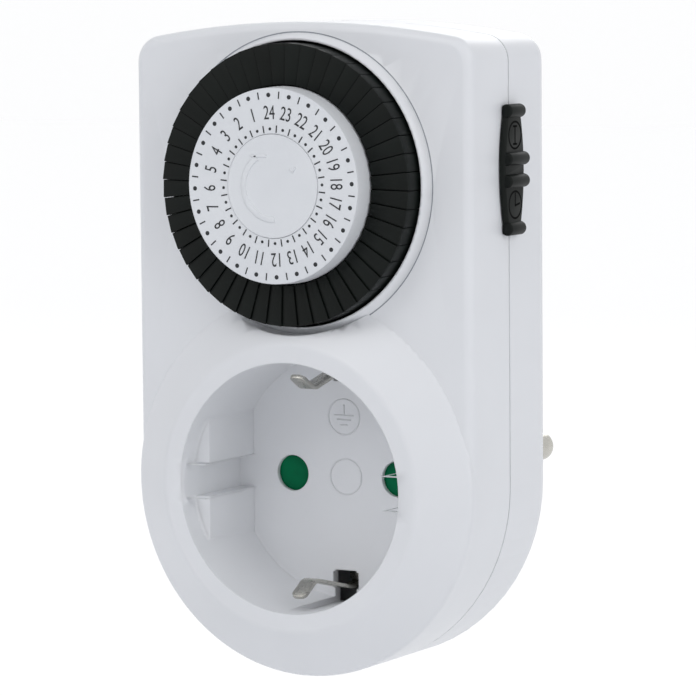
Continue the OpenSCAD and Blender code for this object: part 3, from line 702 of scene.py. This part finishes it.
def shutter_bar(material):
    """The shutter, raised close behind the pin holes."""
    bar = merged_copy("shutter")
    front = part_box("shutter")[0].y
    bpy.ops.object.mode_set(mode="EDIT")
    select_in_edit(bar, corners=lambda v: v.co.y < front + SHUTTER_FRONT_T)
    bpy.ops.transform.translate(value=(0, -SHUTTER_RAISE, 0))
    bpy.ops.object.mode_set(mode="OBJECT")
    settle(bar, "shutter_bar", "shutter", material, "shutter_green", "shutter")


# The earth springs in millimetres: their route as (Y, distance from the middle)
CLIP_T, CLIP_HALF_W, CLIP_BEND_R = 0.6, 1.3, 0.9
CLIP_ROUTE = [(-26.8, 0.0), (-26.8, 17.6), (-31.2, 17.6), (-42.7, 14.95), (-46.5, 17.2)]


def earth_clips(material):
    """The two bent earth springs, joined behind the socket floor."""
    strips = []
    for side in (1, -1):
        deselect()
        bpy.ops.mesh.primitive_plane_add(size=1)
        strip = bpy.context.object
        bpy.ops.object.mode_set(mode="EDIT")
        bpy.ops.mesh.delete(type="ONLY_FACE")
        select_in_edit(strip, corners=lambda v: v.co.y > 0)
        bpy.ops.mesh.delete(type="VERT")
        bpy.ops.mesh.select_all(action="SELECT")
        bpy.ops.transform.resize(value=(2 * CLIP_HALF_W * MM, 1, 1), center_override=(0, 0, 0))
        place = Vector((0, -0.5, 0))
        for y, z in CLIP_ROUTE:
            goal = Vector((0, y, side * z)) * MM
            if (y, z) == CLIP_ROUTE[0]:
                bpy.ops.transform.translate(value=goal - place)
            else:
                bpy.ops.mesh.extrude_region_move(TRANSFORM_OT_translate={"value": goal - place})
            place = goal
        bpy.ops.mesh.select_mode(type="VERT")
        select_in_edit(strip, corners=lambda v: abs(v.co.y - CLIP_ROUTE[-1][0] * MM) < 0.01 * MM)
        bpy.ops.mesh.bevel(offset=CLIP_BEND_R * MM, segments=4, affect="VERTICES")
        bpy.ops.object.mode_set(mode="OBJECT")
        bends = strip.modifiers.new("bends", "BEVEL")
        bends.width = CLIP_BEND_R * MM
        bends.segments = 5
        bends.limit_method = "ANGLE"
        bends.angle_limit = math.radians(10)
        solid = strip.modifiers.new("thickness", "SOLIDIFY")
        solid.thickness = CLIP_T * MM
        solid.offset = 0
        activate(strip)
        for step in ("bends", "thickness"):
            bpy.ops.object.modifier_apply(modifier=step)
        strips.append(round_edges(strip, 0.08, segments=2, angle=50))
    settle(joined(strips), "earth_clips", "housing", material, "nickel", "front_earth_clips")


def line(start, end, width, height, place):
    """A straight low bar between two points of a flat, for a moulded or engraved sign."""
    along = (Vector(end) - Vector(start)).normalized() * width / 2
    across = Vector((-along.y, along.x))
    corners = [Vector(start) - along + across, Vector(start) - along - across,
               Vector(end) + along - across, Vector(end) + along + across]
    return prism([tuple(c) for c in corners], 0, height, place)


def ring_sign(centre, radius, width, height, place):
    """A low round ring on a flat, with its axis square to it."""
    axis = [Vector(place(centre[0], centre[1], w)) for w in (-0.1, height, -1, height + 1)]
    return combine(cylinder(radius + width / 2, axis[0], axis[1], 72),
                   cylinder(radius - width / 2, axis[2], axis[3], 72), "DIFFERENCE")


def earth_sign(material):
    """The moulded earth sign in its ring on the socket floor, and a bare ring beside it."""
    def on_floor(u, v, w):
        return u, WELL_FLOOR_Y / MM - w, v

    width, height, radius = 0.22, 0.1, 2.8
    bars = [ring_sign(centre, radius, width, height, on_floor)
            for centre in ((-0.1, 9.35), (0.17, -0.1))]
    for start, end in (((-0.1, 9.9), (-0.1, 11.2)), ((-1.7, 9.6), (1.5, 9.6)),
                       ((-1.2, 8.9), (1.0, 8.9)), ((-0.6, 8.1), (0.4, 8.1))):
        bars.append(line(start, end, width, height, on_floor))
    settle(joined(bars), "earth_sign", "housing", material, "housing")


SLIDER_Y, SLIDER_Z = -32.5, 48.8
SLIDER_BASE_X, SLIDER_TOP_X = 29.9, 30.8


def slider(material, mark_shade):
    """The slider: a shallow cap with sloped sides, two finger ribs and a bump at each end."""
    arc_r, half_width, half_length = 33.9, 3.5, 10.0
    cap = None
    for side in (1, -1):
        y = SLIDER_Y + side * (arc_r - half_width)
        disc = cylinder(arc_r, (SLIDER_BASE_X, y, SLIDER_Z), (SLIDER_TOP_X, y, SLIDER_Z), 360,
                        arc_r - 0.4)
        cap = disc if cap is None else combine(cap, disc, "INTERSECT")
    combine(cap, box_between((29, -40, SLIDER_Z - half_length + 0.9),
                             (32, -25, SLIDER_Z + half_length - 0.9)), "INTERSECT")
    round_edges(cap, 0.2)
    rolls = [(1.7, 3.1, 30.9, 1.03), (-1.7, 3.1, 30.9, 1.03),
             (half_length - 1.05, 2.45, 30.55, 1.05), (1.05 - half_length, 2.45, 30.55, 1.05)]
    for z, half, x, radius in rolls:
        roll = cylinder(radius, (x, SLIDER_Y - half, SLIDER_Z + z),
                        (x, SLIDER_Y + half, SLIDER_Z + z), 32)
        round_edges(roll, 0.35, segments=3, angle=60)
        combine(roll, box_between((SLIDER_BASE_X, -40, 30), (34, -25, 65)), "INTERSECT")
        combine(cap, roll, "UNION")
    bpy.ops.object.shade_smooth_by_angle(angle=math.radians(35))
    shank = box_between((27.55, SLIDER_Y - 1.8, SLIDER_Z - 4), (30.1, SLIDER_Y + 1.8, SLIDER_Z + 4))
    foot = box_between((26.45, SLIDER_Y - 2.8, SLIDER_Z - 6),
                       (27.65, SLIDER_Y + 2.8, SLIDER_Z + 6))
    settle(joined([cap, shank, foot]), "slider_cap", "mode_slider", material, "black",
           "mode_slider")

    def on_cap(u, v, w):
        return SLIDER_TOP_X + w * 0.5 - 0.02, SLIDER_Y + u, SLIDER_Z + v

    # The signs on the cap are thin bars, a hair proud, whose near-black colour is painted shade for
    # the shadow in engraved lines.
    width, height, radius = 0.3, 0.06, 2.05
    upper, lower = 5.25, -5.35
    marks = [ring_sign((0.1, v), radius, width, height, on_cap) for v in (upper, lower)]
    for start, end in (((0.1, upper - 1.35), (0.1, upper + 1.35)),
                       ((-0.4, upper - 1.35), (0.6, upper - 1.35)),
                       ((-0.4, upper + 1.35), (0.6, upper + 1.35)),
                       ((0.1, lower - 0.1), (0.1, lower + 1.7)),
                       ((0.1, lower - 0.1), (1.5, lower + 0.15))):
        marks.append(line(start, end, width, height, on_cap))
    settle(joined(marks), "slider_marks", "mode_slider", mark_shade, "black")


# ---------------------------------------------------------------------------------------------
# The whole object
# ---------------------------------------------------------------------------------------------

camera()
world()
floor_and_backdrop()
area_light("key", (-0.25, -1.0, 0.95), size=0.9, power=3.1)
area_light("side", (1.1, -0.35, 0.5), size=0.9, power=2.9)
area_light("back", (-0.3, 1.0, 0.7), size=0.8, power=3.0)

finishes = {
    "housing": white_abs(),
    "dial_white": white_dial_plastic(),
    "black": black_polyamide(),
    "gear_plastic": acetal(),
    "shutter_green": green_plastic(),
    "steel": metal("zinc_plated_steel", "#a9adb2", "#bcc0c4", roughness=0.32, streak_mm=0.3),
    "nickel": metal("nickel_plated_brass", "#b3b1aa", "#c9c7c0", roughness=0.28, streak_mm=0.4),
    "brass": metal("rolled_brass", "#b6903f", "#cba653", roughness=0.3, streak_mm=0.3),
}
dress_cad_nodes(finishes)
dial_print(ink())
tappet_pairs(finishes["black"])
cap_arrow(finishes["dial_white"])
collar_line(shadow_grey())
front_shell(finishes["housing"])
shutter_bar(finishes["shutter_green"])
earth_clips(finishes["nickel"])
earth_sign(finishes["housing"])
slider(finishes["black"], engraved_black())

scene = bpy.context.scene
scene.view_settings.view_transform = "Standard"
